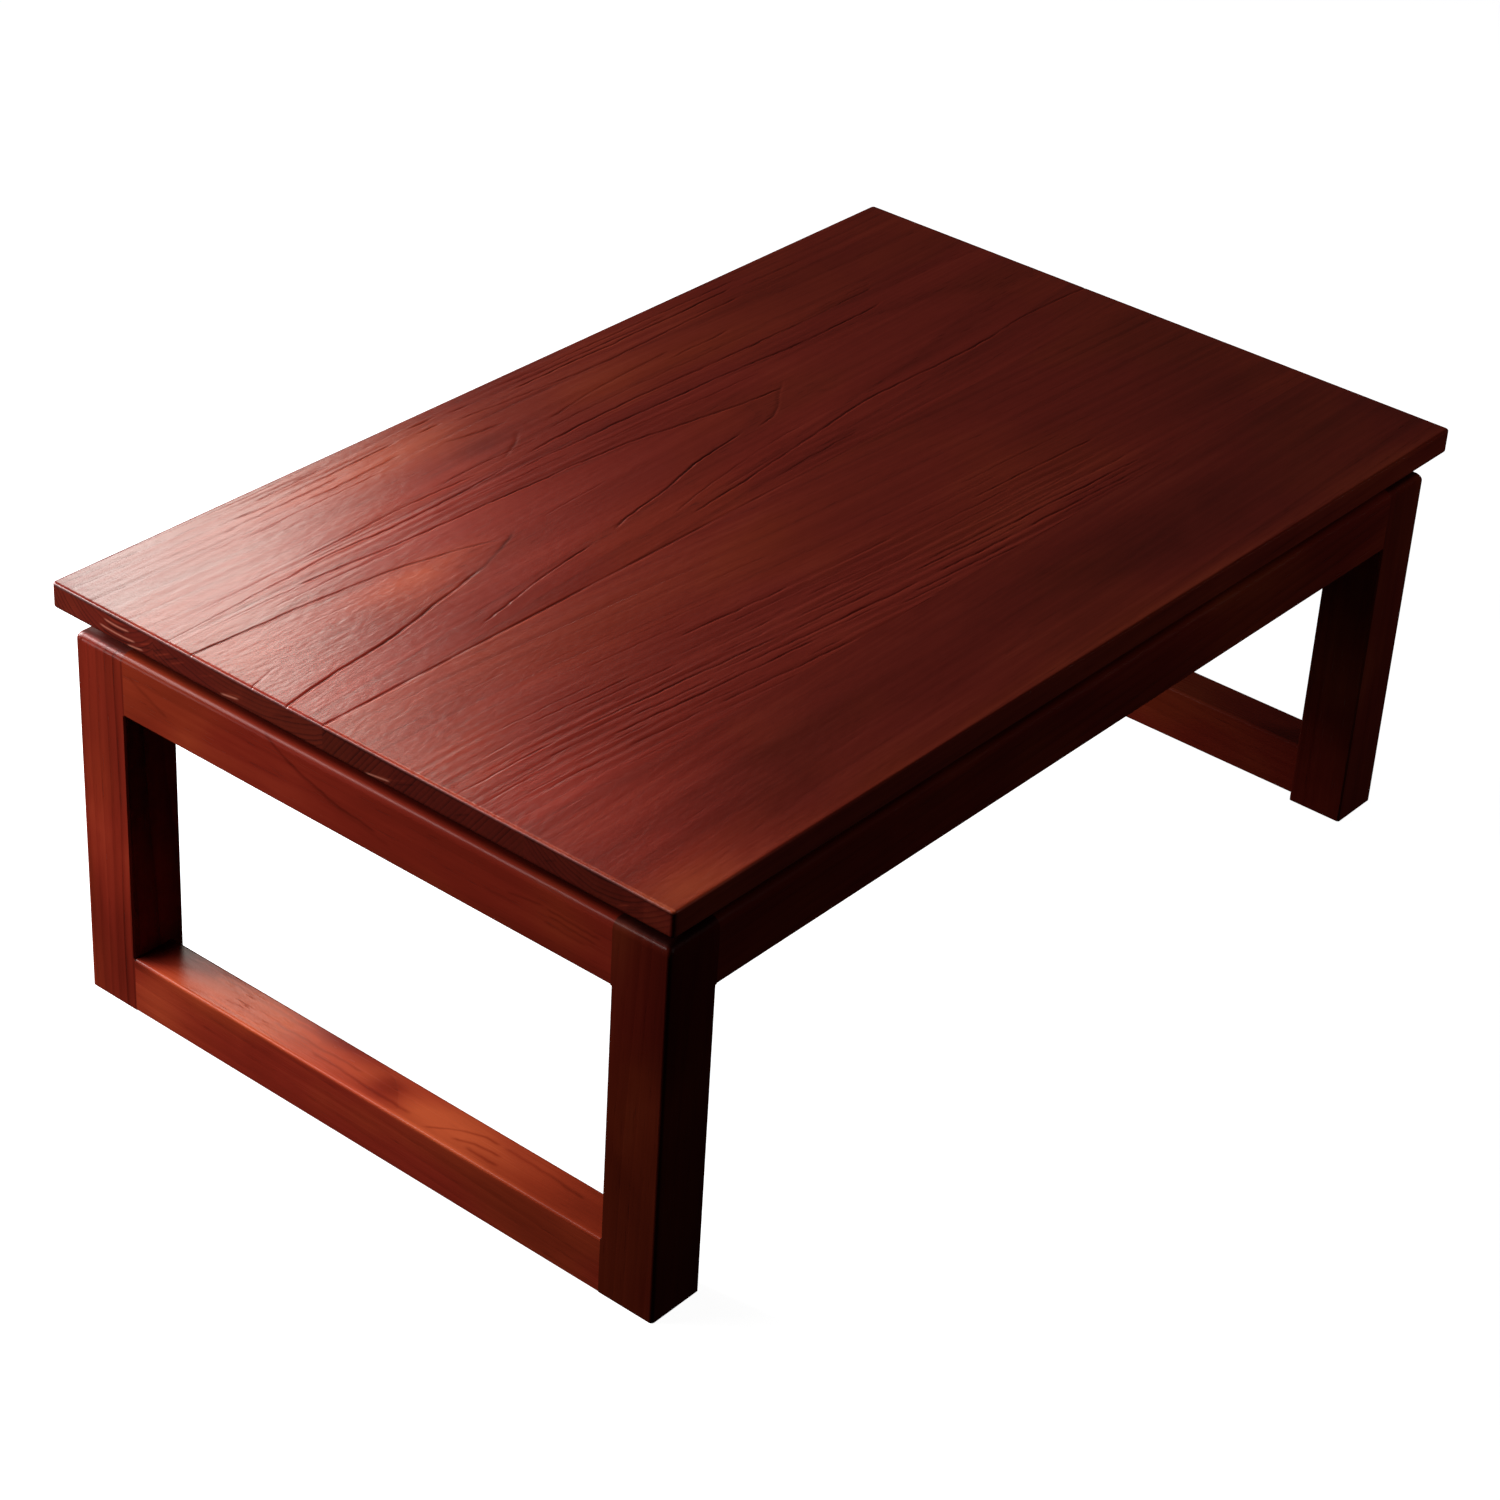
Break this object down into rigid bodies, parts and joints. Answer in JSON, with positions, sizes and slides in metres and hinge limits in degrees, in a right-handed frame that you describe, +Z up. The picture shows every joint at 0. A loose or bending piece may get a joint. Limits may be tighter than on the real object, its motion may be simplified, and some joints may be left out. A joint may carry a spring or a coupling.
{
  "type": "low floor table",
  "caption": "Low rectangular wooden floor table: slab top on a recessed waist, square legs joined by aprons, and a floor-level stretcher at each short end.",
  "frame": {"origin": "on the floor, under the middle of the top", "axes": "+X along the long side, +Y along the short side, +Z up; the feet stand on z = 0"},
  "size_m": [0.8, 0.5, 0.3],
  "materials": {
    "top_wood": "red-brown stain, brushed open grain, satin lacquer",
    "frame_wood": "red-brown stain, satin lacquer",
    "inner_wood": "red-brown stain, thin matt lacquer",
    "screw_steel": "zinc plated, yellowed"
  },
  "bodies": {
    "root": {"top_board_front": "top_wood", "top_board_mid_front": "top_wood", "top_board_mid_back": "top_wood", "top_board_back": "top_wood", "leg_front_left": "frame_wood", "leg_front_right": "frame_wood", "leg_back_right": "frame_wood", "leg_back_left": "frame_wood", "apron_front": "frame_wood", "apron_back": "frame_wood", "apron_left": "frame_wood", "apron_right": "frame_wood", "floor_stretcher_left": "frame_wood", "floor_stretcher_right": "frame_wood", "waist_strip_front": "inner_wood", "waist_strip_back": "inner_wood", "waist_strip_left": "inner_wood", "waist_strip_right": "inner_wood", "batten_left": "inner_wood", "batten_right": "inner_wood", "corner_block_front_left": "inner_wood", "corner_block_front_right": "inner_wood", "corner_block_back_right": "inner_wood", "corner_block_back_left": "inner_wood", "batten_screws": "screw_steel", "corner_block_screws": "screw_steel"}
  },
  "joints": []
}
